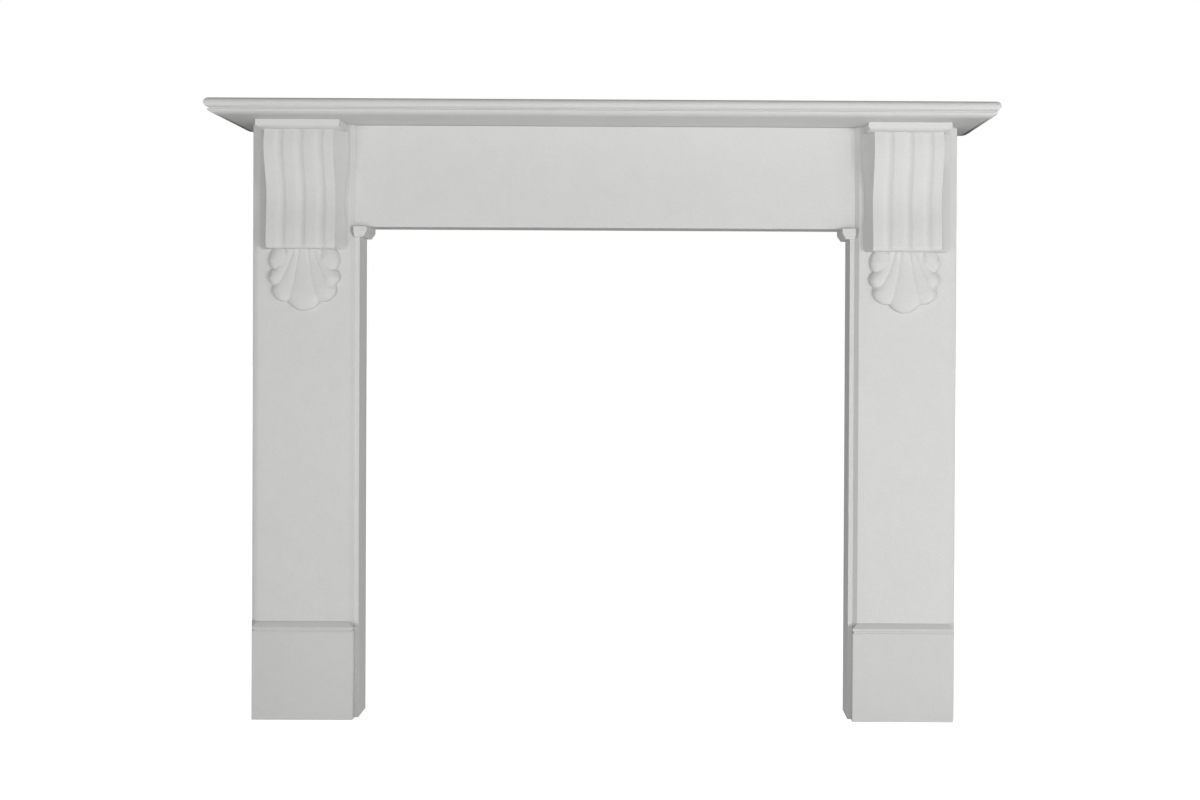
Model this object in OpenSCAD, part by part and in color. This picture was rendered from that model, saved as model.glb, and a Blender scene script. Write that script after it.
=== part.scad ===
// Corbelled stone mantelpiece: a moulded shelf on two legs and a frieze.
//
// Frame: X across the front, -Y out into the room, +Z up. The origin is on the
// floor, halfway across and halfway through the depth. The back of the shelf
// and the backs of the legs stand in one plane, against the wall.

/* [Overall] */
// Width of the shelf, end to end
shelf_w = 1524; // [1300:1:1900]
// Depth of the shelf, front to wall
shelf_d = 229; // [190:1:300]
// Height from the floor to the top of the shelf
overall_h = 1225; // [1020:1:1500]

/* [Shelf] */
// Thickness of the shelf
shelf_t = 30; // [27:0.5:45]
// Overhang of the shelf past the outer side of each leg
shelf_overhang = 53; // [30:1:80]
// Thickness of the rounded nosing along the shelf's upper edge
nosing_t = 18.5; // [14:0.5:20]
// Radius of the ovolo under the nosing
ovolo_r = 10; // [4:0.5:12]
// Step back from the nosing to the fillet over the ovolo
fillet_step = 5.5; // [2:0.5:10]

/* [Legs] */
// Width of the flat face of a jamb
face_w = 182; // [160:1:230]
// Distance from the front of the shelf back to the jambs' faces
face_set = 125; // [100:1:150]
// Chamfer on the upright edges of a jamb
jamb_chamfer = 15.5; // [12:0.5:20]

/* [Frieze and inner slips] */
// Height of the frieze
frieze_h = 205; // [170:1:246]
// Distance from the jambs' faces back to the frieze and slips
slip_set = 8.5; // [5:0.5:11]
// Width of slip that shows between a jamb and the fire opening
slip_show = 9; // [6:0.5:20]
// Whole width of a slip, most of it behind the jamb
slip_w = 40; // [34:1:50]
// Depth left free behind the slips and the frieze, for a back panel
back_rebate = 32.5; // [20:0.5:40]

/* [Slip capitals] */
// Height of the capital's upright band
capital_band = 10; // [6:0.5:14]
// Height of the slope under the band
capital_slope = 10.5; // [6:0.5:14]
// Overhang of the band past the slip
capital_over = 17.5; // [13:0.5:22]
// Overhang of the foot of the slope past the slip
capital_under = 9.5; // [4:0.5:12]

/* [Foot blocks] */
// Height of a foot block with its moulded top
block_h = 196; // [160:1:240]
// Projection of a foot block in front and at the sides of the jamb's face
block_proj = 10; // [6:0.5:12]
// Height of the sloping top of a foot block
block_slope = 9; // [6:0.5:12]
// Height of the narrow band under the slope
block_band = 4; // [2:0.5:6]
// Depth of the groove under the band
block_groove = 2.5; // [1:0.5:4]
// Radius of the block's upper edge, below the groove
block_round = 6; // [3:0.5:8]

/* [Corbels] */
// Width of the fluted face
corbel_w = 137; // [115:1:150]
// Width of the abacus, the flat cap on the corbel
abacus_w = 164.5; // [152:0.5:176]
// Height of the abacus's upright band
abacus_band = 10; // [6:0.5:14]
// Height of the hollow under the band
abacus_hollow = 7; // [4:0.5:9]
// Projection of the abacus from the jamb
abacus_proj = 55; // [52:0.5:66]
// Height of the fluted part, under the abacus
console_h = 235; // [195:1:282]
// Projection at the crest, near the top
crest_proj = 46; // [38:0.5:50]
// Projection at the waist
waist_proj = 26; // [22:0.5:34]
// Projection at the toe, near the bottom
toe_proj = 32; // [27:0.5:40]
// Width of each of the three flutes
flute_w = 21; // [14:0.5:25]
// Depth of each flute
flute_depth = 3.5; // [2:0.5:5]

/* [Shells] */
// Width of the carved shell under a corbel
shell_w = 141; // [118:1:170]
// Height of the shell that shows
shell_h = 124; // [104:1:149]
// Greatest relief of the shell
shell_relief = 14; // [10:0.5:18]

/* [Hidden] */
$fn = 64;
eps = 1;                                          // overrun of a cutting tool

// Planes from front to back
wall_y = shelf_d / 2;
front_y = -shelf_d / 2;
face_y = front_y + face_set;
slip_y = face_y + slip_set;
slip_back_y = wall_y - back_rebate;
leg_d = wall_y - face_y;

// Lines across, from the middle outwards
leg_out_x = shelf_w / 2 - shelf_overhang;
face_out_x = leg_out_x - jamb_chamfer;
face_in_x = face_out_x - face_w;
leg_x = (face_in_x + face_out_x) / 2;             // middle of a leg's face
slip_line_x = face_in_x - slip_set;               // where the chamfer meets the slip
opening_x = slip_line_x - slip_show;
slip_out_x = opening_x + slip_w;

// Levels
soffit_z = overall_h - shelf_t;
opening_h = soffit_z - frieze_h;
abacus_h = abacus_band + abacus_hollow;
console_top_z = soffit_z - abacus_h;
console_foot_z = console_top_z - console_h;

capital_trim = 1;                                 // the capitals stop short of the jambs' arrises

// Corbel: the curve of the face, from the abacus to the toe
crest_drop = 0.13 * console_h;                    // from the abacus down to the crest
waist_drop = 0.60 * console_h;                    // down to the waist
toe_drop = 0.89 * console_h;                      // down to the toe
foot_round = 10;                                  // radius of the lower edge
underside_slope = 0.3;                            // fall of the underside from front to back
neck_in = 5;                                      // how far the face draws in at the abacus
abacus_ledge = 2;                                 // how far the abacus's foot stands off the face
console_tuck = 4;                                 // console that runs up inside the abacus
side_step = 6;                                    // width of a side's steep part
side_splay = 0.43;                                // spread of the inner side per unit of projection
side_root = 12;                                   // depth of the flare beside the jamb
face_margin = face_w / 2 - corbel_w / 2 - 0.5;    // spread of the outer side, up to the arris
fillet_w = (corbel_w - 3 * flute_w) / 4;          // flat between the flutes
fillet_steps = 3;
flute_steps = 6;
curve_steps = 20;
foot_steps = 5;

// Shell: seven lobes, each [offset at the top, half width at the top, offset of its
// round end, drop of its round end, radius of that end], as shares of shell_w and shell_h
shell_lobes = [
    for (lobe = [[0, 0.082, 0, 0.726, 0.238],
                 [0.111, 0.031, 0.305, 0.670, 0.154],
                 [0.199, 0.057, 0.383, 0.428, 0.117],
                 [0.333, 0.085, 0.358, 0.158, 0.142]])
    for (side = lobe[0] == 0 ? [1] : [-1, 1])
    [side * lobe[0] * shell_w, lobe[1] * shell_w,
     side * lobe[2] * shell_w, lobe[3] * shell_h, lobe[4] * shell_w]];
shell_steps = 22;
shell_edge = 1.2;                                 // thickness of the shell's rim

stone = [0.84, 0.84, 0.83];

// ---------- Profiles and solids that repeat ----------

// A slab w wide and d deep, from y = 0 back, whose front and two ends carry one profile.
// The profile is drawn with its outermost line on x = 0 and runs $reach inwards.
module returned(w, d) {
    intersection() {
        translate([-w / 2, 0, 0]) rotate([90, 0, 90]) linear_extrude(w)
            let ($reach = d) children();
        translate([0, d, 0]) rotate([90, 0, 0]) linear_extrude(d)
            for (side = [0, 1]) mirror([side, 0]) translate([-w / 2, 0])
                let ($reach = w / 2) children();
    }
}

// Edge of the shelf: a half-round nosing, a fillet and an ovolo, with z = 0 at the soffit
module shelf_edge() {
    nose_r = nosing_t / 2;
    ovolo_x = fillet_step + ovolo_r;
    translate([nose_r, shelf_t - nose_r]) circle(nose_r);
    translate([nose_r, shelf_t - nosing_t]) square([$reach - nose_r, nosing_t]);
    translate([fillet_step, ovolo_r])
        square([$reach - fillet_step, shelf_t - nosing_t - ovolo_r + nose_r / 2]);
    translate([ovolo_x, ovolo_r]) circle(ovolo_r);
    translate([ovolo_x, 0]) square([$reach - ovolo_x, shelf_t - nosing_t]);
}

// Edge of the abacus: an upright band over a hollow, with z = 0 at its underside
module abacus_edge() {
    hollow_run = abacus_proj - face_curve(0) - abacus_ledge;
    polygon([[0, abacus_h], [0, abacus_hollow], [hollow_run * 0.35, abacus_hollow * 0.45],
             [hollow_run, 0], [$reach, 0], [$reach, abacus_h]]);
}

// Plan of a right-hand jamb, chamfered on both upright edges and rebated for the slip
module jamb_plan() {
    difference() {
        polygon([[slip_line_x, slip_y], [face_in_x, face_y], [face_out_x, face_y],
                 [leg_out_x, face_y + jamb_chamfer], [leg_out_x, wall_y], [slip_line_x, wall_y]]);
        translate([slip_line_x - eps, slip_y])
            square([slip_out_x - slip_line_x + eps, wall_y - slip_y + eps]);
    }
}

// Front edge of a foot block: z = 0 on the floor, projecting -x from the jamb's face line
module block_edge() {
    band_z = block_h - block_slope;
    groove_z = band_z - block_band;
    round_z = groove_z - block_groove;
    difference() {
        union() {
            translate([-block_proj, 0]) square([$reach + block_proj, round_z - block_round]);
            translate([block_round - block_proj, round_z - block_round]) {
                circle(block_round);
                square([$reach + block_proj - block_round, block_round]);
            }
            polygon([[block_groove - block_proj, round_z - eps], [block_groove - block_proj, round_z],
                     [-block_proj, groove_z], [-block_proj, band_z], [0, block_h],
                     [$reach, block_h], [$reach, round_z - eps]]);
        }
        translate([-block_proj - eps, block_h]) square([block_proj + $reach, eps]);
    }
}

// ---------- Corbel and shell ----------

// Projection of the fluted face, drop below the abacus
function face_curve(drop) =
    drop < crest_drop
        ? crest_proj - neck_in * pow(1 - drop / crest_drop, 2)
    : drop < waist_drop
        ? waist_proj + (crest_proj - waist_proj)
            * (1 + cos(180 * (drop - crest_drop) / (waist_drop - crest_drop))) / 2
    : drop < toe_drop
        ? waist_proj + (toe_proj - waist_proj)
            * (1 - cos(180 * (drop - waist_drop) / (toe_drop - waist_drop))) / 2
    : toe_proj;

// Share of the full projection that is left at a drop, as the foot's lower edge rounds in
function foot_share(drop) =
    let (into = min(max(0, drop - console_h + foot_round), foot_round))
    1 - (foot_round - sqrt(foot_round * foot_round - into * into)) / toe_proj;

// Drops of the console's sections: even down to the rounding, then close together
console_drops = concat(
    [for (i = [0 : curve_steps]) (console_h - foot_round) * i / curve_steps],
    [for (i = [1 : foot_steps]) console_h - foot_round + foot_round * sin(90 * i / foot_steps)]);

// Points across the face, from one edge to the other, as [x, depth below the face]
face_points = concat(
    [for (i = [0 : 3]) let (x = i * (fillet_w + flute_w) - corbel_w / 2) each concat(
        [for (j = [0 : fillet_steps - 1]) [x + fillet_w * j / fillet_steps, 0]],
        i == 3 ? [] : [for (j = [0 : flute_steps - 1])
            [x + fillet_w + flute_w * j / flute_steps, flute_depth * sin(180 * j / flute_steps)]])],
    [[corbel_w / 2, 0]]);

// Section of the console at one drop, outer side on +x, y measured from the jamb's face
function console_section(drop) =
    let (share = foot_share(drop), proj = face_curve(drop) * share,
         root = side_root * share, step = side_step * share,
         inner = corbel_w / 2 + side_splay * proj, outer = corbel_w / 2 + face_margin * share)
    concat(
        [[-inner, 0], [-corbel_w / 2 - step, -root]],
        [for (p = face_points) [p[0], -proj + p[1] * share]],
        [[corbel_w / 2 + step, -root], [outer, 0]]);

// A closed solid through a list of sections with the same number of points, top first
module through_sections(sections, levels) {
    n = len(sections[0]);
    m = len(sections);
    polyhedron(
        points = [for (i = [0 : m - 1]) for (p = sections[i]) [p[0], p[1], levels[i]]],
        faces = concat(
            [[for (j = [n - 1 : -1 : 0]) j]],
            [[for (j = [0 : n - 1]) (m - 1) * n + j]],
            [for (i = [0 : m - 2]) for (j = [0 : n - 1]) let (k = (j + 1) % n)
                each [[i * n + j, i * n + k, (i + 1) * n + k],
                      [i * n + j, (i + 1) * n + k, (i + 1) * n + j]]]));
}

// Section at the very top, narrow enough to stay inside the abacus
head_section =
    let (half = abacus_w / 2 - abacus_hollow - eps)
    concat(
        [[-half, 0], [-half, -side_root]],
        [for (p = face_points) [p[0] * (1 - eps / corbel_w), p[1] - face_curve(0)]],
        [[half, -side_root], [half, 0]]);

// Middle line and half width of a lobe, t of the way from its top to its round end
function lobe_x(lobe, t) = lobe[0] + (lobe[2] - lobe[0]) * pow(t, 1.5);
function lobe_half(lobe, t) = lobe[1] + (lobe[4] - lobe[1]) * t;

// Relief of one lobe at a point x across and drop below the shell's top
function lobe_relief(lobe, x, drop) =
    let (t = min(drop / lobe[3], 1),
         away = norm([x - lobe_x(lobe, t), max(drop - lobe[3], 0)]) / lobe_half(lobe, t))
    away >= 1 ? 0 : shell_relief * (0.62 + 0.38 * t) * sqrt(1 - away * away);

function relief(x, drop) = max([for (lobe = shell_lobes) lobe_relief(lobe, x, drop)]);

// Half width of the shell at a drop
function rim_x(drop) =
    max([for (lobe = shell_lobes)
        let (t = min(drop / lobe[3], 1), past = max(drop - lobe[3], 0),
             spare = pow(lobe_half(lobe, t), 2) - past * past)
        spare < 0 ? 0 : lobe_x(lobe, t) + sqrt(spare)]);

// Section of the shell at one drop, with as many points as the console's
function shell_section(drop) =
    let (half = rim_x(drop))
    concat(
        [[-half, 0], [-half, -shell_edge / 2]],
        [for (p = face_points) let (x = p[0] * 2 / corbel_w * half)
            [x, -max(shell_edge, relief(x, drop))]],
        [[half, -shell_edge / 2], [half, 0]]);

// Drops of the shell's sections, closer together towards the foot of its middle lobe
shell_foot = shell_lobes[0][3] + shell_lobes[0][4];
shell_drops = [for (i = [0 : shell_steps]) (shell_foot - 0.2) * sin(90 * i / shell_steps)];

// The console and its shell, in sections from inside the abacus to the shell's foot
module console() {
    through_sections(
        concat([head_section], [for (drop = console_drops) console_section(drop)],
               [for (drop = shell_drops) shell_section(drop)]),
        concat([console_top_z + console_tuck], [for (drop = console_drops) console_top_z - drop],
               [for (drop = shell_drops) console_foot_z - underside_slope - drop]));
}

// ---------- Pieces, drawn on the right-hand side ----------

module jamb() {
    color(stone) translate([0, 0, block_h]) linear_extrude(soffit_z - block_h) jamb_plan();
}

// The slip stands on the floor and its capital carries the frieze
module inner_slip() {
    color(stone) union() {
        translate([opening_x, slip_y, 0])
            cube([slip_w, slip_back_y - slip_y, opening_h]);
        difference() {
            intersection() {
                translate([opening_x - capital_over, slip_back_y, opening_h])
                    rotate([90, 0, 0]) linear_extrude(slip_back_y - slip_y + capital_over)
                    capital_edge(slip_w + capital_over);
                translate([opening_x - capital_over, slip_y - capital_over, opening_h])
                    rotate([90, 0, 90]) linear_extrude(slip_w + capital_over)
                    capital_edge(slip_back_y - slip_y + capital_over);
            }
            translate([face_in_x - capital_trim, slip_y - capital_over - eps, 0])
                cube([slip_w, capital_over + eps, overall_h]);
            translate([slip_out_x - slip_w / 2, slip_y - capital_over, 0])
                cube([slip_w, capital_over, overall_h]);
            linear_extrude(overall_h) jamb_plan();
        }
    }
}

// Edge of a capital, hanging from z = 0: an upright band over a slope
module capital_edge(reach) {
    polygon([[0, 0], [0, -capital_band], [capital_over - capital_under, -capital_band - capital_slope],
             [reach, -capital_band - capital_slope], [reach, 0]]);
}

// The block's back follows the jamb above it, and its moulded front stands proud
module foot_block() {
    color(stone) difference() {
        union() {
            linear_extrude(block_h) jamb_plan();
            intersection() {
                translate([face_in_x - block_proj, face_y, 0])
                    rotate([90, 0, 90]) linear_extrude(face_w + 2 * block_proj)
                    let ($reach = jamb_chamfer) block_edge();
                translate([leg_x, face_y + jamb_chamfer, 0])
                    rotate([90, 0, 0]) linear_extrude(jamb_chamfer + block_proj)
                    for (side = [0, 1]) mirror([side, 0]) translate([-face_w / 2, 0])
                        let ($reach = face_w / 2) block_edge();
            }
        }
        translate([opening_x - eps, slip_y, -eps])
            cube([slip_w + eps, wall_y - slip_y + eps, block_h + 2 * eps]);
    }
}

module corbel() {
    color(stone) translate([leg_x, face_y, 0]) union() {
        translate([0, -abacus_proj, console_top_z]) returned(abacus_w, abacus_proj) abacus_edge();
        console();
    }
}

// ---------- Named pieces ----------

module shelf() {
    color(stone) translate([0, front_y, soffit_z]) returned(shelf_w, shelf_d) shelf_edge();
}

module frieze() {
    color(stone) translate([-slip_out_x, slip_y, opening_h])
        cube([2 * slip_out_x, slip_back_y - slip_y, frieze_h]);
}

module left_jamb() { mirror([1, 0, 0]) jamb(); }
module left_inner_slip() { mirror([1, 0, 0]) inner_slip(); }
module left_foot_block() { mirror([1, 0, 0]) foot_block(); }
module left_corbel() { mirror([1, 0, 0]) corbel(); }
module right_jamb() { jamb(); }
module right_inner_slip() { inner_slip(); }
module right_foot_block() { foot_block(); }
module right_corbel() { corbel(); }

shelf();
frieze();
left_jamb();
left_inner_slip();
left_foot_block();
left_corbel();
right_jamb();
right_inner_slip();
right_foot_block();
right_corbel();
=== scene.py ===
"""Corbelled limestone mantelpiece: the stones, their finish and a small studio."""
import math

import bmesh
import bpy
from bpy.props import FloatProperty, FloatVectorProperty, IntProperty, PointerProperty
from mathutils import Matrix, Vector


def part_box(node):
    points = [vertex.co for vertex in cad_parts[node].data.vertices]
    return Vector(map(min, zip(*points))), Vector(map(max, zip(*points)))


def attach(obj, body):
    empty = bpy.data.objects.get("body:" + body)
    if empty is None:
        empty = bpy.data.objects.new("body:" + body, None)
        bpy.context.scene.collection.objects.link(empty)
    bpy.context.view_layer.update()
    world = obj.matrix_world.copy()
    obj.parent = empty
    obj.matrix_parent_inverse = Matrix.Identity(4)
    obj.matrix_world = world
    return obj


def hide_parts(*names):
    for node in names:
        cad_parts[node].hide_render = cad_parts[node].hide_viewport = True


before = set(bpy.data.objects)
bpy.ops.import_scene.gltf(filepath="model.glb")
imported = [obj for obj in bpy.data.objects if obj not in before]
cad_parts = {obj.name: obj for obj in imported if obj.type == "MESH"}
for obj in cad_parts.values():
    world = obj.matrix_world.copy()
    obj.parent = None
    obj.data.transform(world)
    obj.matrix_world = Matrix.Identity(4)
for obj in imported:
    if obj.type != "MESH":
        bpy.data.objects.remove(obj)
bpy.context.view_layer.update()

bl_info = {
    "name": "Corbelled Mantelpiece",
    "version": (1, 0, 0),
    "blender": (4, 5, 0),
    "location": "3D View > Sidebar > Mantelpiece",
    "description": "Models the stones of a corbelled mantelpiece around its CAD frame",
    "category": "Object",
}

BOX = {name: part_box(name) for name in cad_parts}

# Planes, lines and levels of the right-hand leg, taken from the CAD stones
FACE_Y = BOX["right_jamb"][0].y
SLIP_Y, SLIP_BACK_Y = BOX["frieze"][0].y, BOX["frieze"][1].y
WALL_Y = BOX["right_jamb"][1].y
LEG_OUT_X = BOX["right_jamb"][1].x
SLIP_LINE_X = BOX["right_jamb"][0].x
FACE_IN_X = SLIP_LINE_X + SLIP_Y - FACE_Y
SLIP_OUT_X = BOX["frieze"][1].x
CAPITAL_OVER = SLIP_Y - BOX["right_inner_slip"][0].y
OPENING_X = BOX["right_inner_slip"][0].x + CAPITAL_OVER
SOFFIT_Z = BOX["right_jamb"][1].z
OPENING_Z = BOX["frieze"][0].z
BLOCK_Z = BOX["right_foot_block"][1].z
BLOCK_PROJ = FACE_Y - BOX["right_foot_block"][0].y
BLOCK_OUT_X = FACE_IN_X - BLOCK_PROJ
ABACUS_PROJ = FACE_Y - BOX["right_corbel"][0].y

TINY = 1e-5
SPARE = 0.005          # stone left on until a piece is sawn flat


def length(name, description, default):
    """A size in metres that shows in the scene's own units."""
    return FloatProperty(name=name, description=description, default=default,
                         min=0, unit="LENGTH", precision=4)


def share(name, description, default):
    """A number from nought to one."""
    return FloatProperty(name=name, description=description, default=default,
                         min=0, max=1, subtype="FACTOR")


def colour(name, description, default):
    """A linear colour."""
    return FloatVectorProperty(name=name, description=description, default=default,
                               size=3, min=0, max=1, subtype="COLOR")


# ---------- Sizes and finishes that a user may change ----------

class MantelShelf(bpy.types.PropertyGroup):
    """The shelf's moulded edge"""
    nosing: length("Nosing", "Thickness of the half-round nosing", 0.0185)
    fillet_step: length("Fillet step", "Step back from the nosing to the fillet", 0.0055)
    quirk: length("Quirk", "Depth of the quirk under the nosing", 0.0030)
    ovolo: length("Ovolo", "Height of the ovolo under the quirk", 0.0086)
    ovolo_run: length("Ovolo run", "How far the ovolo runs in under the shelf", 0.019)
    mitre_wear: length("Mitre wear", "Rounding of the upright corners of the moulding", 0.0016)
    arc_steps: IntProperty(name="Arc steps", description="Facets along each curve of the edge",
                           default=12, min=3, max=32)


class MantelLegs(bpy.types.PropertyGroup):
    """The jambs, the slips with their capitals, the frieze and the foot blocks"""
    chamfer: length("Jamb chamfer", "Chamfer on a jamb's outer edge", 0.0155)
    arris: length("Worn arris", "Rounding of the edges of every plain stone", 0.0009)
    capital_band: length("Capital band", "Height of the capital's upright band", 0.010)
    capital_slope: length("Capital slope", "Height of the slope under the band", 0.0105)
    capital_under: length("Capital foot", "Overhang of the foot of the slope", 0.0095)
    capital_line: length("Capital line", "Depth of the line cut under the band", 0.0010)
    capital_trim: length("Capital trim", "Gap from a capital to the jamb's arris", 0.009)
    block_slope: length("Block slope", "Height of a foot block's sloping top", 0.009)
    block_band: length("Block band", "Height of the band under the slope", 0.004)
    block_groove: length("Block groove", "Depth of the groove under the band", 0.0025)
    block_round: length("Block round", "Radius of the edge under the groove", 0.006)


class MantelCorbels(bpy.types.PropertyGroup):
    """The fluted corbels and their abaci"""
    abacus_width: length("Abacus width", "Width of the flat cap", 0.1645)
    abacus_band: length("Abacus band", "Height of the abacus's upright band", 0.010)
    abacus_under: length("Abacus moulding", "Height of the moulding under the band", 0.007)
    abacus_run: length("Abacus return", "How far that moulding draws in", 0.012)
    face_width: length("Face width", "Width of the fluted face", 0.137)
    height: length("Height", "Height of the fluted part", 0.235)
    crest: length("Crest", "Projection at the crest", 0.046)
    waist: length("Waist", "Projection at the waist", 0.026)
    toe: length("Toe", "Projection at the toe", 0.032)
    neck: length("Neck", "How far the face draws in at the abacus", 0.005)
    foot_round: length("Foot rounding", "Radius of the lower edge", 0.010)
    flute_width: length("Flute width", "Width of each of the three flutes", 0.021)
    flute_depth: length("Flute depth", "Depth of each flute", 0.0035)
    side_step: length("Side step", "Width of the steep part of each side", 0.006)
    side_root: length("Side root", "Depth of the flare beside the jamb", 0.012)
    outer_flare: length("Outer flare", "Spread of the outer side", 0.022)
    inner_flare: share("Inner flare", "Spread of the inner side per unit of projection", 0.43)
    carving_waver: length("Carving waver", "How far the hand-cut surface wanders", 0.0010)


class MantelShells(bpy.types.PropertyGroup):
    """The scallop shell under each corbel"""
    relief: length("Relief", "Greatest relief of the lobes", 0.016)
    squareness: share("Squareness", "Roundness of a lobe's section, from lean to square", 0.56)
    grain: length("Cutting grain", "Size of the facets that the lobes are blended with", 0.0009)
    waver: length("Waver", "How far the hand-cut surface wanders", 0.0006)


class MantelStone(bpy.types.PropertyGroup):
    """The honed limestone"""
    stone: colour("Stone", "Colour of the dressed stones", (0.620, 0.620, 0.614))
    foot_stone: colour("Foot stone", "Colour of the foot blocks", (0.580, 0.580, 0.575))
    fleck: colour("Dark fleck", "Colour of the dark flecks", (0.26, 0.26, 0.25))
    fossil: colour("Pale fleck", "Colour of the pale fossil flecks", (0.74, 0.74, 0.73))
    roughness: share("Roughness", "Roughness of the honed face", 0.66)
    clouding: share("Clouding", "How far the tone drifts across a stone", 0.08)
    grain: share("Grain", "Contrast of the fine grain", 0.20)


class MantelStudio(bpy.types.PropertyGroup):
    """The light, the floor and the camera"""
    right_power: FloatProperty(name="Right light", description="Power of the low light in front, right",
                               default=62, min=0, unit="POWER")
    left_power: FloatProperty(name="Left light", description="Power of the low light in front, left",
                              default=44, min=0, unit="POWER")
    side_power: FloatProperty(name="Side light", description="Power of the soft light at the right side",
                              default=10, min=0, unit="POWER")
    front_size: length("Front size", "Width of each front light", 1.0)
    side_size: length("Side size", "Width of the side light", 1.4)
    front_place: FloatVectorProperty(name="Front place", description="Where the right front light stands",
                                     default=(2.4, -3.0, 0.45), subtype="TRANSLATION", unit="LENGTH")
    side_place: FloatVectorProperty(name="Side place", description="Where the side light stands",
                                    default=(2.5, -1.3, 1.0), subtype="TRANSLATION", unit="LENGTH")
    room_light: share("Room light", "Strength of the light from all around", 0.19)
    back_light: share("Back light", "Extra strength of the light from behind", 0.20)
    floor: colour("Floor", "Colour of the pale floor", (0.50, 0.50, 0.50))
    # Near glow and far glow set a painted glow: light given off by the floor itself, standing in for light
    # bounced off a lit floor
    near_glow: share("Near glow", "Light given off by the lit floor close in front", 0.51)
    far_glow: share("Far glow", "Light given off by the lit floor further off", 0.92)
    floor_shine: share("Floor brightness", "How bright the lit floor looks", 0.95)
    lens: FloatProperty(name="Lens", description="Focal length in millimetres on a 36 mm frame",
                        default=37.2336, min=10)
    camera_place: FloatVectorProperty(name="Camera place", description="Where the camera stands",
                                      default=(0.10610, -2.48435, 0.76971),
                                      subtype="TRANSLATION", unit="LENGTH")
    camera_turn: FloatVectorProperty(name="Camera turn", description="How the camera is turned",
                                     default=[math.radians(a) for a in (89.64737, -0.27657, -0.17307)],
                                     subtype="EULER", unit="ROTATION")
    camera_shift: FloatVectorProperty(name="Camera shift", description="Shift of the lens, across and up",
                                      default=(-0.05080, -0.04558), size=2)


# ---------- Modelling by hand tools ----------

def deselect():
    """Leaves edit mode and selects nothing."""
    if bpy.context.mode != "OBJECT":
        bpy.ops.object.mode_set(mode="OBJECT")
    bpy.ops.object.select_all(action="DESELECT")


def take(piece):
    """Makes a piece the only one selected."""
    deselect()
    piece.select_set(True)
    bpy.context.view_layer.objects.active = piece


def named(name):
    """Names the piece that was just added and puts its place into its mesh."""
    piece = bpy.context.object
    piece.name = piece.data.name = name
    bpy.ops.object.transform_apply(location=True, rotation=True, scale=True)
    return piece


def rough_block(name, low, high):
    """A squared block between two corners, to be worked further."""
    deselect()
    bpy.ops.mesh.primitive_cube_add(size=1, location=(Vector(low) + Vector(high)) / 2,
                                    scale=Vector(high) - Vector(low))
    return named(name)


def rough_face(name, left, right, front, back, z):
    """A level face between four sides, left in edit mode and selected, to be drawn into a block."""
    middle = Vector(((left + right) / 2, (front + back) / 2, z))
    deselect()
    bpy.ops.mesh.primitive_plane_add(size=1, location=middle)
    piece = named(name)
    bpy.ops.object.mode_set(mode="EDIT")
    bpy.ops.mesh.select_all(action="SELECT")
    bpy.ops.transform.resize(value=(right - left, back - front, 1), center_override=middle)
    return piece


def choose(piece, kind, test):
    """Selects only the faces, edges or vertices, all in edit mode, that pass a test."""
    bpy.ops.mesh.select_mode(type=kind)
    bpy.ops.mesh.select_all(action="DESELECT")
    mesh = bmesh.from_edit_mesh(piece.data)
    found = [e for e in {"VERT": mesh.verts, "EDGE": mesh.edges, "FACE": mesh.faces}[kind] if test(e)]
    if not found:
        raise RuntimeError(f"{piece.name}: nothing was found to work on")
    for element in found:
        element.select_set(True)
    bmesh.update_edit_mesh(piece.data)


def upright_edge(x, y):
    """A test for edges that stand at x, y."""
    return lambda e: all(abs(v.co.x - x) < TINY and abs(v.co.y - y) < TINY for v in e.verts)


def move(shift):
    bpy.ops.transform.translate(value=shift)


def outwards(piece):
    """Merges doubles and turns all faces outwards."""
    take(piece)
    bpy.ops.object.mode_set(mode="EDIT")
    bpy.ops.mesh.select_all(action="SELECT")
    bpy.ops.mesh.remove_doubles(threshold=TINY)
    bpy.ops.mesh.normals_make_consistent(inside=False)
    bpy.ops.object.mode_set(mode="OBJECT")


def ring_middle(ring):
    left, right, front, back, z = ring
    return Vector(((left + right) / 2, (front + back) / 2, z))


def turned_stack(name, rings, corner=0, cuts=()):
    """A moulded block drawn up ring by ring, each [left, right, front, back, height].
    corner rounds its upright edges, and each cut, a point and a direction, trims it flat."""
    piece = rough_face(name, *rings[0])
    if corner:
        bpy.ops.mesh.bevel(offset=corner, segments=3, affect="VERTICES")
        bpy.ops.mesh.select_all(action="SELECT")
    for before, after in zip(rings, rings[1:]):
        bpy.ops.mesh.extrude_region_move(
            TRANSFORM_OT_translate={"value": ring_middle(after) - ring_middle(before)})
        bpy.ops.transform.resize(
            value=((after[1] - after[0]) / (before[1] - before[0]),
                   (after[3] - after[2]) / (before[3] - before[2]), 1),
            center_override=ring_middle(after))
    outwards(piece)
    for point, direction in cuts:
        trim_flat(piece, point, direction)
    return piece


def trim_flat(piece, point, direction):
    """Saws a piece off flat, square to a direction, and keeps what lies behind the cut."""
    take(piece)
    bpy.ops.object.mode_set(mode="EDIT")
    bpy.ops.mesh.select_all(action="SELECT")
    bpy.ops.mesh.bisect(plane_co=point, plane_no=direction, use_fill=True, clear_outer=True)
    outwards(piece)


def finish_modifier(piece, kind, **settings):
    """Adds a modifier, sets it and applies it."""
    take(piece)
    bpy.ops.object.modifier_add(type=kind)
    modifier = piece.modifiers[-1]
    for key, value in settings.items():
        setattr(modifier, key, value)
    bpy.ops.object.modifier_apply(modifier=modifier.name)


def soften(piece, width, angle=40, segments=2):
    """Rounds the arrises a little and shades the curves smooth."""
    finish_modifier(piece, "BEVEL", width=width, segments=segments, limit_method="ANGLE",
                    angle_limit=math.radians(angle), miter_outer="MITER_ARC")
    smooth(piece)


def smooth(piece, angle=38):
    take(piece)
    bpy.ops.object.shade_smooth_by_angle(angle=math.radians(angle))


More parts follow.
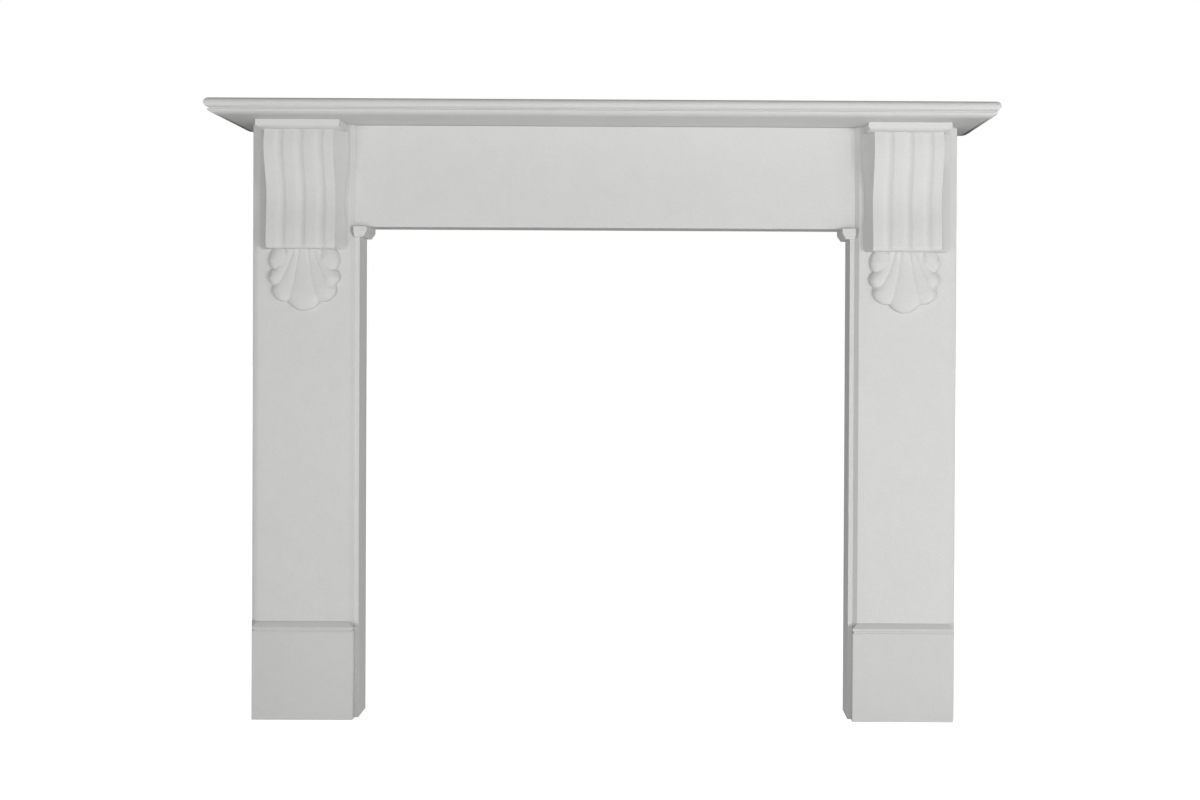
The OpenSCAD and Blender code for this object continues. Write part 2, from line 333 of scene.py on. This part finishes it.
def level_faces(piece):
    """Keeps the large flat faces flat in shade beside their rounded arrises."""
    finish_modifier(piece, "WEIGHTED_NORMAL", mode="FACE_AREA", weight=50, keep_sharp=True)


def combine(piece, tool, operation):
    """Cuts a tool out of a piece, or joins it on, and removes the tool."""
    finish_modifier(piece, "BOOLEAN", object=tool, operation=operation, solver="EXACT")
    take(tool)
    bpy.ops.object.delete()
    outwards(piece)


def other_side(piece, name):
    """A copy of a right-hand piece, mirrored to the left."""
    take(piece)
    bpy.ops.object.duplicate(linked=False)
    copy = bpy.context.object
    copy.name = copy.data.name = name
    bpy.ops.object.mode_set(mode="EDIT")
    bpy.ops.mesh.select_all(action="SELECT")
    bpy.ops.transform.resize(value=(-1, 1, 1), center_override=(0, 0, 0))
    outwards(copy)
    return copy


def set_in_place(piece, node, finish):
    """Gives a finished stone its finish and puts it in its CAD node's stead."""
    level_faces(piece)
    piece.data.materials.clear()
    piece.data.materials.append(finish)
    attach(piece, "root")
    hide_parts(node)
    deselect()


# ---------- Stone finish ----------

class Field:
    """A number that varies over the stone; arithmetic on it adds Math nodes."""

    def __init__(self, finish, socket):
        self.finish = finish
        self.socket = socket

    def worked(self, operation, first, second):
        node = self.finish.node("ShaderNodeMath", {"operation": operation}, {0: first, 1: second})
        return Field(self.finish, node.outputs[0])

    def __add__(self, other):
        return self.worked("ADD", self, other)

    def __radd__(self, other):
        return self.worked("ADD", other, self)

    def __sub__(self, other):
        return self.worked("SUBTRACT", self, other)

    def __rsub__(self, other):
        return self.worked("SUBTRACT", other, self)

    def __mul__(self, other):
        return self.worked("MULTIPLY", self, other)

    def __rmul__(self, other):
        return self.worked("MULTIPLY", other, self)


class Finish:
    """The node tree of one material, or of the room."""

    def __init__(self, owner):
        self.owner = owner
        owner.use_nodes = True
        self.tree = owner.node_tree
        self.tree.nodes.clear()

    def node(self, kind, settings=None, values=None):
        """Adds a node: its settings first, then a value or a link for each socket."""
        node = self.tree.nodes.new(kind)
        for key, value in (settings or {}).items():
            if key == "stops":
                for stop, (place, level) in zip(self.enough_stops(node, len(value)), value):
                    stop.position, stop.color = place, (level, level, level, 1)
            else:
                setattr(node, key, value)
        for key, value in (values or {}).items():
            socket = node.inputs[key]
            value = value.socket if isinstance(value, Field) else value
            if isinstance(value, bpy.types.NodeSocket):
                self.tree.links.new(value, socket)
            else:
                socket.default_value = value
        return node

    @staticmethod
    def enough_stops(node, count):
        """The stops of a ramp, as many as are wanted."""
        while len(node.color_ramp.elements) < count:
            node.color_ramp.elements.new(1)
        return node.color_ramp.elements

    def noise(self, place, scale, detail, roughness=0.5):
        node = self.node("ShaderNodeTexNoise", None,
                         {"Vector": place, "Scale": scale, "Detail": detail, "Roughness": roughness})
        return Field(self, node.outputs[0])

    def ramp(self, factor, *stops):
        node = self.node("ShaderNodeValToRGB", {"stops": stops}, {"Fac": factor})
        return Field(self, node.outputs[0])

    def flecks(self, place, spacing, size, kept):
        """Round flecks: one in each cell of the given spacing, of which a share is kept."""
        cells = self.node("ShaderNodeTexVoronoi", {"feature": "F1"},
                          {"Vector": place, "Scale": 1 / spacing, "Randomness": 1.0})
        lot = self.node("ShaderNodeSeparateColor", None, {"Color": cells.outputs["Color"]})
        chosen = self.ramp(Field(self, lot.outputs[0]), (1 - kept, 0), (1 - kept + 0.01, 1))
        edge = size / spacing / 2
        dot = self.ramp(Field(self, cells.outputs["Distance"]), (edge * 0.4, 1), (edge, 0))
        depth = Field(self, lot.outputs[1]) * 0.7 + 0.3
        return chosen * dot * depth

    def blend(self, factor, first, second):
        node = self.node("ShaderNodeMix", {"data_type": "RGBA"},
                         {0: factor, 6: first, 7: second})
        return node.outputs[2]


def stone_finish(name, tone):
    """Honed limestone: soft clouding, fine grain, dark and pale flecks, and a dull polish."""
    look = bpy.context.scene.mantel_stone
    finish = Finish(bpy.data.materials.new(name))
    place = finish.node("ShaderNodeTexCoord").outputs["Object"]
    clouds = finish.noise(place, 2.2, 3) - 0.5
    mottle = finish.noise(place, 30, 4, 0.6) - 0.5
    grain = finish.noise(place, 360, 3, 0.65) - 0.5
    dark = finish.flecks(place, 0.0070, 0.0022, 0.30)
    darker = finish.flecks(place, 0.045, 0.0042, 0.35)
    pale = finish.flecks(place, 0.0090, 0.0026, 0.30)
    level = 1 + clouds * look.clouding + mottle * (look.clouding * 0.8) + grain * look.grain
    body = finish.node("ShaderNodeVectorMath", {"operation": "SCALE"},
                       {"Vector": tone, "Scale": level}).outputs[0]
    with_pale = finish.blend(pale * 0.35, body, (*look.fossil, 1))
    with_dark = finish.blend(dark * 0.30, with_pale, (*look.fleck, 1))
    stone = finish.blend(darker * 0.42, with_dark, (*look.fleck, 1))
    roughness = look.roughness + mottle * 0.14 + grain * 0.10 - pale * 0.08
    height = grain * 0.7 + mottle * 0.5 - dark * 0.5 - darker * 0.9
    relief = finish.node("ShaderNodeBump", None,
                         {"Strength": 0.22, "Distance": 0.0006, "Height": height})
    surface = finish.node("ShaderNodeBsdfPrincipled", None,
                          {"Base Color": stone, "Roughness": roughness,
                           "Specular IOR Level": 0.35, "Normal": relief.outputs[0]})
    finish.node("ShaderNodeOutputMaterial", None, {"Surface": surface.outputs[0]})
    return finish.owner


def dressed_stone():
    return bpy.data.materials.get("honed_limestone") or stone_finish(
        "honed_limestone", bpy.context.scene.mantel_stone.stone)


def foot_stone():
    return bpy.data.materials.get("honed_limestone_feet") or stone_finish(
        "honed_limestone_feet", bpy.context.scene.mantel_stone.foot_stone)


# ---------- The stones ----------

def arc(middle, z, radius, first, last, steps):
    """Points [inset, height] along an arc; the angle is measured from straight out, upwards."""
    angles = [math.radians(first + (last - first) * i / steps) for i in range(steps + 1)]
    return [(middle - radius * math.cos(a), z + radius * math.sin(a)) for a in angles]


class BuildShelf(bpy.types.Operator):
    """Models the shelf: a slab with a nosing, a fillet and an ovolo on its front and ends"""
    bl_idname = "mantel.build_shelf"
    bl_label = "Shelf"

    def execute(self, context):
        sizes = context.scene.mantel_shelf
        low, high = BOX["shelf"]
        nose = sizes.nosing / 2
        nose_z = high.z - nose
        deep = sizes.fillet_step + sizes.quirk
        into = math.degrees(math.acos(1 - deep / nose))
        lip_z = low.z + sizes.ovolo
        profile = arc(nose, nose_z, nose, 90, -into, sizes.arc_steps) + [(deep, lip_z + 0.0005)]
        for i in range(sizes.arc_steps + 1):
            turn = math.pi / 2 * i / sizes.arc_steps
            profile.append((sizes.fillet_step + sizes.ovolo_run * (1 - math.cos(turn)),
                            lip_z - sizes.ovolo * math.sin(turn)))
        spare_y = high.y + SPARE + sizes.fillet_step + sizes.ovolo_run
        rings = [[low.x + inset, high.x - inset, low.y + inset, spare_y - inset, z]
                 for inset, z in profile]
        shelf = turned_stack("shelf_slab", rings, sizes.mitre_wear)
        soften(shelf, 0.0005)
        trim_flat(shelf, (0, high.y, 0), (0, 1, 0))
        set_in_place(shelf, "shelf", dressed_stone())
        return {"FINISHED"}


class BuildFrieze(bpy.types.Operator):
    """Models the frieze stone between the two legs"""
    bl_idname = "mantel.build_frieze"
    bl_label = "Frieze"

    def execute(self, context):
        frieze = rough_block("frieze_stone", *BOX["frieze"])
        soften(frieze, 2 * context.scene.mantel_legs.arris)
        set_in_place(frieze, "frieze", dressed_stone())
        return {"FINISHED"}


def jamb_prism(name, low_z, high_z, chamfer):
    """An upright stone on a right-hand jamb's plan, chamfered outside and lipped inside."""
    stone = rough_block(name, (SLIP_OUT_X, FACE_Y, low_z), (LEG_OUT_X, WALL_Y, high_z))
    bpy.ops.object.mode_set(mode="EDIT")
    bpy.ops.mesh.select_all(action="SELECT")
    bpy.ops.mesh.bisect(plane_co=(0, SLIP_Y, 0), plane_no=(0, 1, 0))
    choose(stone, "FACE", lambda f: f.normal.x < -0.9 and f.calc_center_median().y < SLIP_Y)
    bpy.ops.mesh.extrude_region_move(
        TRANSFORM_OT_translate={"value": (SLIP_LINE_X - SLIP_OUT_X, 0, 0)})
    choose(stone, "EDGE", upright_edge(SLIP_LINE_X, FACE_Y))
    move((FACE_IN_X - SLIP_LINE_X, 0, 0))
    choose(stone, "EDGE", upright_edge(LEG_OUT_X, FACE_Y))
    bpy.ops.mesh.bevel(offset=chamfer, segments=1, affect="EDGES")
    outwards(stone)
    return stone


class BuildJambs(bpy.types.Operator):
    """Models the two jambs with their chamfered edges"""
    bl_idname = "mantel.build_jambs"
    bl_label = "Jambs"

    def execute(self, context):
        sizes = context.scene.mantel_legs
        right = jamb_prism("right_jamb_stone", BLOCK_Z, SOFFIT_Z, sizes.chamfer)
        soften(right, sizes.arris)
        left = other_side(right, "left_jamb_stone")
        set_in_place(right, "right_jamb", dressed_stone())
        set_in_place(left, "left_jamb", dressed_stone())
        return {"FINISHED"}


class BuildSlips(bpy.types.Operator):
    """Models the slips beside the opening, with their small capitals"""
    bl_idname = "mantel.build_slips"
    bl_label = "Slips and capitals"

    def execute(self, context):
        sizes = context.scene.mantel_legs
        band_z = OPENING_Z - sizes.capital_band
        slope_z = band_z - sizes.capital_slope

        def ring(over, z):
            return [OPENING_X - over, SLIP_OUT_X + SPARE + over, SLIP_Y - over, SLIP_BACK_Y + SPARE + over, z]

        right = turned_stack("right_slip_stone", [
            ring(0, 0), ring(0, slope_z), ring(sizes.capital_under, slope_z),
            ring(CAPITAL_OVER - sizes.capital_line, band_z - sizes.capital_line),
            ring(CAPITAL_OVER - sizes.capital_line, band_z), ring(CAPITAL_OVER, band_z),
            ring(CAPITAL_OVER, OPENING_Z)],
            cuts=(((SLIP_OUT_X, 0, 0), (1, 0, 0)), ((0, SLIP_BACK_Y, 0), (0, 1, 0))))
        soften(right, sizes.arris * 0.5)
        trim_x = FACE_IN_X - sizes.capital_trim
        trim_y = SLIP_Y - (trim_x - SLIP_LINE_X)
        tool = rough_block("jamb_line", (trim_x, SLIP_Y - 2 * CAPITAL_OVER, slope_z - 0.01),
                           (SLIP_OUT_X + 0.01, SLIP_Y, OPENING_Z + 0.01))
        bpy.ops.object.mode_set(mode="EDIT")
        bpy.ops.mesh.select_all(action="SELECT")
        bpy.ops.mesh.bisect(plane_co=(0, trim_y, 0), plane_no=(0, 1, 0))
        choose(tool, "EDGE", upright_edge(trim_x, SLIP_Y))
        move((SLIP_LINE_X - trim_x, 0, 0))
        bpy.ops.object.mode_set(mode="OBJECT")
        combine(right, tool, "DIFFERENCE")
        smooth(right)
        left = other_side(right, "left_slip_stone")
        set_in_place(right, "right_inner_slip", dressed_stone())
        set_in_place(left, "left_inner_slip", dressed_stone())
        return {"FINISHED"}


class BuildFootBlocks(bpy.types.Operator):
    """Models the foot blocks with their sloping, grooved tops"""
    bl_idname = "mantel.build_foot_blocks"
    bl_label = "Foot blocks"

    def execute(self, context):
        sizes = context.scene.mantel_legs
        band_top_z = BLOCK_Z - sizes.block_slope
        band_foot_z = band_top_z - sizes.block_band
        round_top_z = band_foot_z - sizes.block_groove
        radius = sizes.block_round
        into = math.degrees(math.acos(1 - sizes.block_groove / radius))
        profile = ([(0, 0)] + arc(radius, round_top_z - radius, radius, 0, into, 6)
                   + [(sizes.block_groove, round_top_z), (0, band_foot_z), (0, band_top_z),
                      (BLOCK_PROJ, BLOCK_Z)])
        back_y = FACE_Y + sizes.chamfer
        out_x = LEG_OUT_X - sizes.chamfer + BLOCK_PROJ
        front = turned_stack("block_front", [
            [BLOCK_OUT_X + inset, out_x - inset, FACE_Y - BLOCK_PROJ + inset, back_y, z]
            for inset, z in profile])
        right = jamb_prism("right_foot_block_stone", 0, BLOCK_Z, sizes.chamfer)
        combine(right, front, "UNION")
        soften(right, sizes.arris * 0.6)
        left = other_side(right, "left_foot_block_stone")
        set_in_place(right, "right_foot_block", foot_stone())
        set_in_place(left, "left_foot_block", foot_stone())
        return {"FINISHED"}


# ---------- Corbels and shells ----------

def wander(piece, name, distance, spacing):
    """Lets a hand-cut surface wander in and out a little, clear of the flat back."""
    take(piece)
    bpy.ops.object.mode_set(mode="EDIT")
    choose(piece, "VERT", lambda v: v.co.y < FACE_Y - TINY)
    bpy.ops.object.vertex_group_assign_new()
    bpy.ops.object.mode_set(mode="OBJECT")
    texture = bpy.data.textures.new(name, "CLOUDS")
    texture.noise_scale = spacing
    texture.noise_depth = 1
    finish_modifier(piece, "DISPLACE", texture=texture, strength=distance, mid_level=0.5,
                    direction="NORMAL", texture_coords="LOCAL",
                    vertex_group=piece.vertex_groups[-1].name)
    piece.vertex_groups.clear()


def face_projection(sizes, drop):
    """How far the fluted face stands out from the jamb, a drop below the abacus."""
    crest_drop, waist_drop, toe_drop = (sizes.height * s for s in (0.13, 0.60, 0.89))
    if drop < crest_drop:
        return sizes.crest - sizes.neck * (1 - drop / crest_drop) ** 2
    if drop < waist_drop:
        turn = math.pi * (drop - crest_drop) / (waist_drop - crest_drop)
        return sizes.waist + (sizes.crest - sizes.waist) * (1 + math.cos(turn)) / 2
    if drop < toe_drop:
        turn = math.pi * (drop - waist_drop) / (toe_drop - waist_drop)
        return sizes.waist + (sizes.toe - sizes.waist) * (1 - math.cos(turn)) / 2
    return sizes.toe


def foot_share(sizes, drop):
    """Share of the projection left at a drop, as the lower edge rounds in."""
    radius = sizes.foot_round
    into = min(max(0, drop - sizes.height + radius), radius)
    return 1 - (radius - math.sqrt(radius ** 2 - into ** 2)) / sizes.toe


def fluted_console(name, sizes, middle_x, top_z):
    """The fluted part, cut across into fillets and flutes and drawn down level by level."""
    half = sizes.face_width / 2
    front_y = FACE_Y - face_projection(sizes, 0)
    root_y = FACE_Y - sizes.side_root
    tuck = 0.002
    piece = rough_face(name, middle_x - half, middle_x + half, front_y, FACE_Y, top_z + tuck)

    # Fillets and flutes across the face
    fillet = (sizes.face_width - 3 * sizes.flute_width) / 4
    columns = {}
    steps = 10
    for i in range(4):
        left = i * (fillet + sizes.flute_width) - half
        for j in range(3):
            columns[left + fillet * j / 3] = 0
        if i < 3:
            for j in range(steps):
                columns[left + fillet + sizes.flute_width * j / steps] = \
                    sizes.flute_depth * math.sin(math.pi * j / steps)
    for x in columns:
        if x > TINY - half:
            bpy.ops.mesh.select_all(action="SELECT")
            bpy.ops.mesh.bisect(plane_co=(middle_x + x, 0, 0), plane_no=(1, 0, 0))
    for depth in sorted(set(round(d, 6) for d in columns.values() if d > TINY)):
        at = [middle_x + x for x, d in columns.items() if abs(d - depth) < TINY]
        choose(piece, "VERT", lambda v: v.co.y < root_y and any(abs(v.co.x - x) < TINY for x in at))
        move((0, depth, 0))

    # The two-part sides
    for side in (-1, 1):
        choose(piece, "EDGE", upright_side(middle_x + side * half))
        bpy.ops.mesh.subdivide(number_cuts=1, ngon=True)
    inner = half + sizes.inner_flare * face_projection(sizes, 0)
    for side, reach in ((-1, inner), (1, half + sizes.outer_flare)):
        choose(piece, "VERT", lambda v: abs(v.co.x - middle_x - side * half) < TINY
               and abs(v.co.y - (front_y + FACE_Y) / 2) < TINY)
        move((side * sizes.side_step, root_y - (front_y + FACE_Y) / 2, 0))
        choose(piece, "VERT", lambda v: abs(v.co.x - middle_x - side * half) < TINY
               and abs(v.co.y - FACE_Y) < TINY)
        move((side * (reach - half), 0, 0))

    # Down the face and round the lower edge
    drops = [(sizes.height - sizes.foot_round) * i / 34 for i in range(1, 35)]
    drops += [sizes.height - sizes.foot_round * (1 - math.sin(math.pi / 2 * i / 6)) for i in range(1, 7)]
    choose(piece, "FACE", lambda f: True)
    before = 0
    z = top_z + tuck
    for drop in drops:
        bpy.ops.mesh.extrude_region_move(
            TRANSFORM_OT_translate={"value": (0, 0, top_z - drop - z)})
        z = top_z - drop
        was, now = foot_share(sizes, before), foot_share(sizes, drop)
        if now < was:
            bpy.ops.transform.resize(value=(1, now / was, 1), center_override=(middle_x, FACE_Y, z))
        faces = lambda f: f.normal.z < -0.5 or f.normal.z > 0.5
        deep = (face_projection(sizes, drop) - face_projection(sizes, before)) * now
        reaches = {}
        for s, d in ((was, before), (now, drop)):
            reaches[d] = (sizes.inner_flare * face_projection(sizes, d) * s,
                          sizes.outer_flare * s, sizes.side_step * s)
        shape = bmesh.from_edit_mesh(piece.data)
        ring = [v for v in shape.verts if v.select]
        root = FACE_Y - sizes.side_root * now
        inner_back, outer_back, step = (b - a for a, b in zip(reaches[before], reaches[drop]))
        groups = [(lambda v: v.co.y < root - TINY, (0, -deep, 0)),
                  (lambda v: v.co.y > FACE_Y - TINY and v.co.x < middle_x - half - TINY, (-inner_back, 0, 0)),
                  (lambda v: v.co.y > FACE_Y - TINY and v.co.x > middle_x + half + TINY, (outer_back, 0, 0)),
                  (lambda v: abs(v.co.y - root) < TINY and v.co.x < middle_x - half - TINY, (-step, 0, 0)),
                  (lambda v: abs(v.co.y - root) < TINY and v.co.x > middle_x + half + TINY, (step, 0, 0))]
        for test, shift in groups:
            if max(abs(s) for s in shift) > 1e-7:
                choose(piece, "VERT", lambda v: abs(v.co.z - z) < TINY and test(v))
                move(shift)
        choose(piece, "FACE", lambda f: all(abs(v.co.z - z) < TINY for v in f.verts))
        before = drop
    outwards(piece)
    return piece


def upright_side(x):
    """A test for edges that run front to back at x."""
    return lambda e: all(abs(v.co.x - x) < TINY for v in e.verts)


def shell_lobe(name, sizes, middle_x, top_z, lobe):
    """One lobe: a rounded section drawn down its curved middle line to a round end."""
    x0, half0, x1, drop, half1, end, part = lobe
    relief = sizes.relief * part
    sections = []
    for i in range(15):
        t = i / 14
        sections.append((x0 + (x1 - x0) * t ** 1.5, half0 + (half1 - half0) * t,
                         relief * (0.62 + 0.38 * t), drop * t))
    for i in range(1, 10):
        turn = math.radians(86 * i / 9)
        sections.append((x1, half1 * math.cos(turn), relief * math.cos(turn) ** 0.6,
                         drop + end * math.sin(turn)))
    x, half, out, down = sections[0]
    middle = Vector((middle_x + x, FACE_Y, top_z - down))
    deselect()
    bpy.ops.mesh.primitive_plane_add(size=2, location=middle)
    piece = named(name)
    bpy.ops.object.mode_set(mode="EDIT")
    bpy.ops.mesh.select_all(action="SELECT")
    bpy.ops.mesh.bevel(offset=0.999, segments=10, profile=sizes.squareness, affect="VERTICES")
    bpy.ops.mesh.select_all(action="SELECT")
    bpy.ops.mesh.remove_doubles(threshold=0.005)
    bpy.ops.transform.resize(value=(half, out, 1), center_override=middle)
    for (xa, ha, ra, da), (xb, hb, rb, db) in zip(sections, sections[1:]):
        bpy.ops.mesh.extrude_region_move(TRANSFORM_OT_translate={"value": (xb - xa, 0, da - db)})
        bpy.ops.transform.resize(value=(hb / ha, rb / ra, 1),
                                 center_override=(middle_x + xb, FACE_Y, top_z - db))
    outwards(piece)
    return piece


# Lobes of the shell from the middle outwards: offset and half width at the top; offset,
# drop, half width and length of the round end; share of the full relief
SHELL_LOBES = (
    (0, 0.0117, 0, 0.0873, 0.0374, 0.0374, 1.0),
    (0.01475, 0.0060, 0.0380, 0.0810, 0.0265, 0.0262, 0.95),
    (0.0274, 0.0090, 0.0530, 0.0565, 0.0183, 0.0188, 0.90),
    (0.0480, 0.0134, 0.0480, 0.0220, 0.0230, 0.0260, 0.80),
)


def lobe_end(name, sizes, middle_x, top_z, lobe):
    """The round end of a lobe."""
    x0, half0, x1, drop, half1, end, part = lobe
    middle = Vector((middle_x + x1, FACE_Y, top_z - drop))
    deselect()
    bpy.ops.mesh.primitive_uv_sphere_add(segments=40, ring_count=20, radius=1, location=middle)
    piece = named(name)
    bpy.ops.object.mode_set(mode="EDIT")
    bpy.ops.mesh.select_all(action="SELECT")
    bpy.ops.transform.resize(value=(half1, sizes.relief * part, end), center_override=middle)
    bpy.ops.object.mode_set(mode="OBJECT")
    return piece


def carved_shell(name, sizes, middle_x, top_z):
    """The seven lobes, blended where they meet and cut flat against the jamb."""
    lobes = []
    for number, (x0, half0, x1, *end) in enumerate(SHELL_LOBES):
        for side in ((1,) if x0 == 0 else (-1, 1)):
            lobe = (side * x0, half0, side * x1, *end)
            lobes.append(shell_lobe(f"lobe_{number}_{side}", sizes, middle_x, top_z, lobe))
            lobes.append(lobe_end(f"end_{number}_{side}", sizes, middle_x, top_z, lobe))
    take(lobes[0])
    for lobe in lobes[1:]:
        lobe.select_set(True)
    bpy.ops.object.join()
    shell = bpy.context.object
    shell.name = shell.data.name = name
    finish_modifier(shell, "REMESH", mode="VOXEL", voxel_size=sizes.grain)
    finish_modifier(shell, "SMOOTH", factor=0.5, iterations=3)
    wander(shell, "shell_waver", sizes.waver, 0.018)
    trim_flat(shell, (0, FACE_Y, 0), (0, 1, 0))
    return shell


class BuildCorbels(bpy.types.Operator):
    """Models the corbels: an abacus, a fluted console and a scallop shell, carved in one stone"""
    bl_idname = "mantel.build_corbels"
    bl_label = "Corbels and shells"

    def execute(self, context):
        sizes = context.scene.mantel_corbels
        shells = context.scene.mantel_shells
        middle_x = (FACE_IN_X + LEG_OUT_X - context.scene.mantel_legs.chamfer) / 2
        band_z = SOFFIT_Z - sizes.abacus_band
        console_z = band_z - sizes.abacus_under
        half = sizes.abacus_width / 2
        run, under = sizes.abacus_run, sizes.abacus_under
        line = 0.0008
        profile = [(0, SOFFIT_Z), (0, band_z), (line, band_z), (line, band_z - line),
                   (0.20 * run, console_z + 0.62 * under), (0.38 * run, console_z + 0.40 * under),
                   (0.66 * run, console_z + 0.16 * under), (run, console_z)]
        right = turned_stack("right_corbel_stone", [
            [middle_x - half + inset, middle_x + half - inset,
             FACE_Y - ABACUS_PROJ + inset, FACE_Y + SPARE + run - inset, z]
            for inset, z in profile], cuts=(((0, FACE_Y, 0), (0, 1, 0)),))
        console = fluted_console("console", sizes, middle_x, console_z)
        wander(console, "console_waver", sizes.carving_waver, 0.030)
        shell = carved_shell("shell", shells, middle_x, console_z - sizes.height + 0.002)
        combine(right, console, "UNION")
        combine(right, shell, "UNION")
        smooth(right, 42)
        left = other_side(right, "left_corbel_stone")
        set_in_place(right, "right_corbel", dressed_stone())
        set_in_place(left, "left_corbel", dressed_stone())
        return {"FINISHED"}


# ---------- Studio ----------

def floor_finish(look):
    """A pale floor with a painted glow: two broad pools in front of the mantelpiece give off light that
    lights the stones from below, and the camera sees the floor glow evenly bright.
    """
    paint = Finish(bpy.data.materials.new("pale_floor"))
    place = paint.node("ShaderNodeTexCoord").outputs["Object"]
    tone = 1 + (paint.noise(place, 0.8, 2) - 0.5) * 0.02
    tinted = paint.node("ShaderNodeVectorMath", {"operation": "SCALE"},
                        {"Vector": look.floor, "Scale": tone}).outputs[0]
    # Painted glow: pools of light given off by the floor itself, standing in for light bounced off a lit
    # floor; other rays see these pools, the camera sees an even glow
    lit = 0
    for strength, y, inner, outer in ((look.near_glow, -0.9, 0.4, 1.6), (look.far_glow, -2.8, 1.0, 2.0)):
        away = paint.node("ShaderNodeVectorMath", {"operation": "DISTANCE"}, {0: place, 1: (0.1, y, 0)})
        pool = paint.ramp(Field(paint, away.outputs["Value"]) * 0.5, (inner / 2, 1), (outer / 2, 0))
        lit = pool * strength + lit
    seen = Field(paint, paint.node("ShaderNodeLightPath").outputs["Is Camera Ray"])
    glow = seen * look.floor_shine + (1 - seen) * lit
    surface = paint.node("ShaderNodeBsdfPrincipled", None,
                         {"Base Color": tinted, "Roughness": 0.9, "Specular IOR Level": 0.2,
                          "Emission Color": (1, 1, 1, 1), "Emission Strength": glow})
    paint.node("ShaderNodeOutputMaterial", None, {"Surface": surface.outputs[0]})
    return paint.owner


def studio_room(look):
    """A soft even room, a little brighter behind, in front of a white backdrop."""
    room = Finish(bpy.data.worlds.new("studio_room"))
    way = room.node("ShaderNodeTexCoord").outputs["Generated"]
    parts = room.node("ShaderNodeSeparateXYZ", None, {"Vector": way})
    back = Field(room, parts.outputs["Y"])
    level = look.room_light + back.worked("MAXIMUM", back, 0.0) * look.back_light
    walls = room.node("ShaderNodeBackground", None, {"Color": (1, 1, 1, 1), "Strength": level})
    backdrop = room.node("ShaderNodeBackground", None, {"Color": (1, 1, 1, 1), "Strength": 1.0})
    seen = room.node("ShaderNodeLightPath").outputs["Is Camera Ray"]
    mixed = room.node("ShaderNodeMixShader", None,
                      {0: seen, 1: walls.outputs[0], 2: backdrop.outputs[0]})
    room.node("ShaderNodeOutputWorld", None, {"Surface": mixed.outputs[0]})
    return room.owner


class BuildStudio(bpy.types.Operator):
    """Sets up the pale floor, the soft light and the camera"""
    bl_idname = "mantel.build_studio"
    bl_label = "Studio"

    def execute(self, context):
        look = context.scene.mantel_studio
        scene = context.scene
        deselect()
        bpy.ops.mesh.primitive_plane_add(size=60, location=(0, 0, 0))
        floor = named("studio_floor")
        floor.data.materials.append(floor_finish(look))

        scene.world = studio_room(look)

        x, y, z = look.front_place
        for name, place, size, power, aim in (
                ("right_light", (x, y, z), look.front_size, look.right_power, (0, 0, 0.7)),
                ("left_light", (-x, y, z), look.front_size, look.left_power, (0, 0, 0.7)),
                ("side_light", look.side_place, look.side_size, look.side_power, (0.7, 0, 0.7))):
            turn = (Vector(aim) - Vector(place)).to_track_quat("-Z", "Y").to_euler()
            bpy.ops.object.light_add(type="AREA", location=place, rotation=turn)
            lamp = context.object
            lamp.name = name
            lamp.data.shape = "SQUARE"
            lamp.data.size = size
            lamp.data.energy = power

        bpy.ops.object.camera_add(location=look.camera_place, rotation=look.camera_turn)
        camera = context.object
        camera.name = "studio_camera"
        camera.data.sensor_width = 36
        camera.data.lens = look.lens
        camera.data.shift_x, camera.data.shift_y = look.camera_shift
        camera.data.clip_end = 200
        scene.camera = camera
        scene.view_settings.view_transform = "Standard"
        return {"FINISHED"}


class MantelPanel(bpy.types.Panel):
    """Lists the stones and the studio in the sidebar"""
    bl_idname = "VIEW3D_PT_mantelpiece"
    bl_label = "Mantelpiece"
    bl_space_type = "VIEW_3D"
    bl_region_type = "UI"
    bl_category = "Mantelpiece"

    def draw(self, context):
        for operator in OPERATORS:
            self.layout.operator(operator.bl_idname)
        for group in GROUPS:
            box = self.layout.box()
            box.label(text=group[1].__doc__)
            settings = getattr(context.scene, group[0])
            for key in group[1].__annotations__:
                box.prop(settings, key)


GROUPS = (
    ("mantel_shelf", MantelShelf),
    ("mantel_legs", MantelLegs),
    ("mantel_corbels", MantelCorbels),
    ("mantel_shells", MantelShells),
    ("mantel_stone", MantelStone),
    ("mantel_studio", MantelStudio),
)
OPERATORS = (BuildStudio, BuildShelf, BuildFrieze, BuildJambs, BuildSlips, BuildFootBlocks, BuildCorbels)


def register():
    for name, group in GROUPS:
        bpy.utils.register_class(group)
        setattr(bpy.types.Scene, name, PointerProperty(type=group))
    for item in (*OPERATORS, MantelPanel):
        bpy.utils.register_class(item)


def unregister():
    for item in (MantelPanel, *reversed(OPERATORS)):
        bpy.utils.unregister_class(item)
    for name, group in reversed(GROUPS):
        delattr(bpy.types.Scene, name)
        bpy.utils.unregister_class(group)


def main():
    register()
    bpy.ops.mantel.build_studio()
    bpy.ops.mantel.build_shelf()
    bpy.ops.mantel.build_frieze()
    bpy.ops.mantel.build_jambs()
    bpy.ops.mantel.build_slips()
    bpy.ops.mantel.build_foot_blocks()
    bpy.ops.mantel.build_corbels()


if __name__ == "__main__":
    main()
